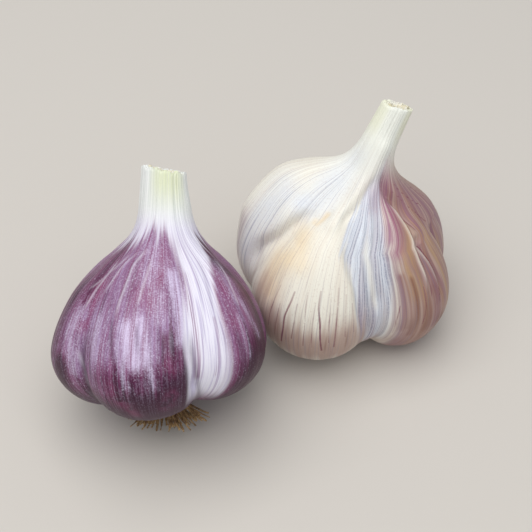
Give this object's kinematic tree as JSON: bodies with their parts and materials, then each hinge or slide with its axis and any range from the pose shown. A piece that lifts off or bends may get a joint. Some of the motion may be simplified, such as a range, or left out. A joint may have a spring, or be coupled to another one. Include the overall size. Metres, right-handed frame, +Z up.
{
  "type": "garlic bulbs",
  "caption": "Whole dry garlic bulbs side by side: a squat purple striped bulb leaning back and a pale striped bulb with a long bent neck.",
  "frame": {"origin": "on the resting surface, under the middle of the pair's bounding box", "axes": "+Z up; +X from the purple bulb towards the pale bulb, along the pair's longest side; +Y towards the side both necks lean to"},
  "size_m": [0.095, 0.0762, 0.0573],
  "materials": {
    "purple_skin": "papery dry skin with a silvery bloom, violet stripes and a cream neck",
    "pale_skin": "papery dry skin, cream and bluish white with tan and purple stripes",
    "sheath": "dry, fibrous, yellowish where it was cut",
    "stalk": "dry woody stalk, brown at the cut",
    "roots": "dry straw-brown roots and corky stem plate"
  },
  "bodies": {
    "root": {"purple_bulb_skin": "purple_skin", "purple_inner_sheath": "sheath", "purple_flower_stalk": "stalk", "purple_root_crown": "roots", "pale_bulb_skin": "pale_skin", "pale_inner_sheath": "sheath", "pale_flower_stalk": "stalk", "pale_root_crown": "roots"}
  },
  "joints": []
}
